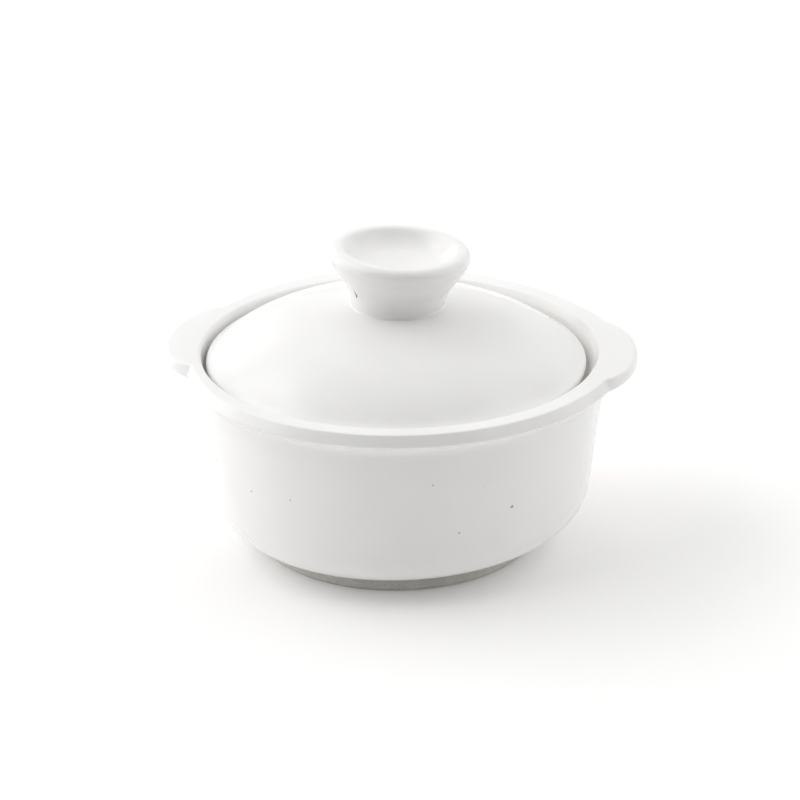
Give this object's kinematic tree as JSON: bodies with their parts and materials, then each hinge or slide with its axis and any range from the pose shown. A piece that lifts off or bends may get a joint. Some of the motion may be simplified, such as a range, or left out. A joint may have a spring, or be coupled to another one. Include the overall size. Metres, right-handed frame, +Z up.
{
  "type": "covered casserole dish",
  "caption": "Round white glazed casserole dish on a foot ring, with lug handles on its rim and a domed lid lifted by a hollow dish-topped knob.",
  "frame": {"origin": "centre of the underside of the foot ring, where the dish stands on the table", "axes": "+Z up, +X out through the right handle, +Y away from the front"},
  "size_m": [0.176, 0.163, 0.1132],
  "materials": {
    "white_glaze": "clear gloss glaze over white stoneware",
    "bare_clay": "unglazed, sanded smooth under the foot"
  },
  "bodies": {
    "pot": {"pot_body": "white_glaze", "foot_ring": "bare_clay", "left_handle": "white_glaze", "right_handle": "white_glaze"},
    "lid": {"lid_dome": "white_glaze", "lid_skirt": "white_glaze", "lid_knob": "white_glaze"}
  },
  "joints": [
    {"name": "lid_lift", "type": "slide", "parent": "pot", "child": "lid", "axis": [0, 0, 1], "range_m": [0, 0.12]}
  ]
}
